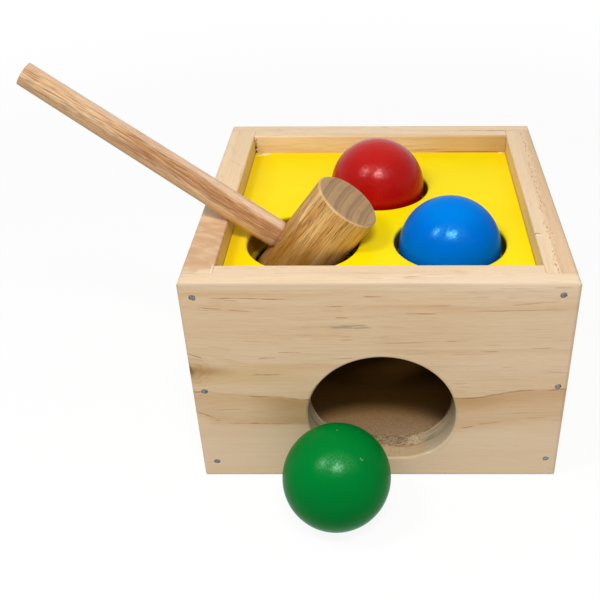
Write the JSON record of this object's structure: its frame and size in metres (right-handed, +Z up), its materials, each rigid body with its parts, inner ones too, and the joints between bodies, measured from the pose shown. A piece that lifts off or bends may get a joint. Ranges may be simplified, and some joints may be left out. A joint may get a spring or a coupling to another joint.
{
  "type": "ball drop box",
  "caption": "Open-topped pine box with a sunken yellow ball board, painted balls seated in its holes, a ramp to a round exit in the front, and a loose wooden hammer.",
  "frame": {"origin": "middle of the box's underside, on the surface that it stands on", "axes": "+Z up, -Y out of the front with the exit, +X to the right seen from the front"},
  "size_m": [0.2484, 0.2258, 0.1891],
  "materials": {
    "pine": "sanded, bare",
    "hardwood": "turned, bare",
    "fibre_board": "matt",
    "yellow_paint": "gloss paint on board",
    "red_paint": "gloss paint on wood",
    "blue_paint": "gloss paint on wood",
    "green_paint": "gloss paint on wood",
    "rubber": "matt",
    "steel": "dull"
  },
  "bodies": {
    "box": {"front_panel": "pine", "back_panel": "pine", "left_panel": "pine", "right_panel": "pine", "base_board": "fibre_board", "base_pins": "steel", "ramp_board": "fibre_board", "ramp_riser": "pine", "guide_block_left": "pine", "guide_block_right": "pine", "corner_block_front_left": "pine", "corner_block_front_right": "pine", "corner_block_back_left": "pine", "corner_block_back_right": "pine", "top_board": "yellow_paint", "seat_ring_red": "rubber", "seat_ring_blue": "rubber", "seat_ring_open": "rubber", "ring_tacks": "steel", "front_nails": "steel", "back_nails": "steel"},
    "red_ball": {"ball_red": "red_paint"},
    "blue_ball": {"ball_blue": "blue_paint"},
    "green_ball": {"ball_green": "green_paint"},
    "hammer": {"hammer_head": "hardwood", "hammer_handle": "hardwood"}
  },
  "joints": [
    {"name": "ball_red_drop", "type": "slide", "parent": "box", "child": "red_ball", "axis": [0, 0, 1], "range_m": [-0.0528, 0.018], "deforming": ["seat_ring_red"]},
    {"name": "ball_blue_drop", "type": "slide", "parent": "box", "child": "blue_ball", "axis": [0, 0, 1], "range_m": [-0.057, 0.018], "deforming": ["seat_ring_blue"]},
    {"name": "ball_green_roll", "type": "slide", "parent": "box", "child": "green_ball", "axis": [0, -1, 0], "range_m": [0, 0.12]},
    {"name": "hammer_lift", "type": "slide", "parent": "box", "child": "hammer", "axis": [0.5848, -0.0656, 0.8085], "range_m": [0, 0.06]}
  ]
}
